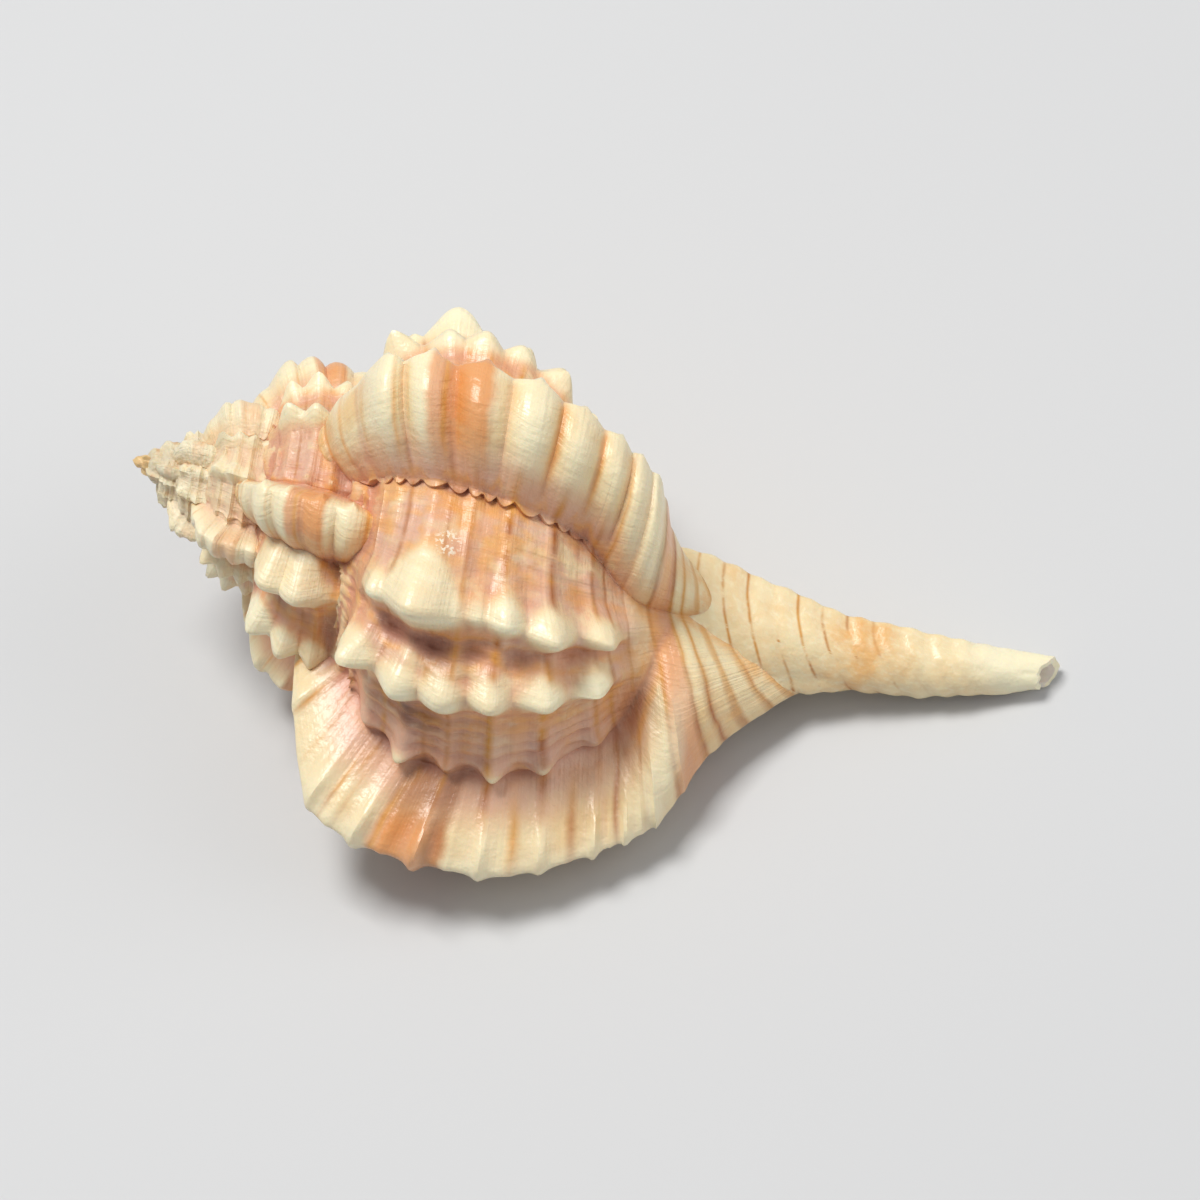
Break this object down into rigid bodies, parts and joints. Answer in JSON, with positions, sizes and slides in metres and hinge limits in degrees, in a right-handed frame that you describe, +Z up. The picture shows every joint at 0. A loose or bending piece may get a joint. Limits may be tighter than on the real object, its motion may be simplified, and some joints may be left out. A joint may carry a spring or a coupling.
{
  "type": "murex shell",
  "caption": "Spiral sea shell with flared, fluted varices, knobbed ribs between them, an oval aperture and a long tapering siphonal canal.",
  "frame": {"origin": "centre of the bounding box, on the surface that the shell lies on", "axes": "+Z up; the coiling axis runs along X, apex towards -X and siphonal canal towards +X; the newest varix is on the -Y side"},
  "size_m": [0.0864, 0.051, 0.041],
  "materials": {
    "shell": "cream and salmon shell, part matt and part glossy, with orange-brown spiral lines"
  },
  "bodies": {
    "root": {"shell": "shell"}
  },
  "joints": []
}
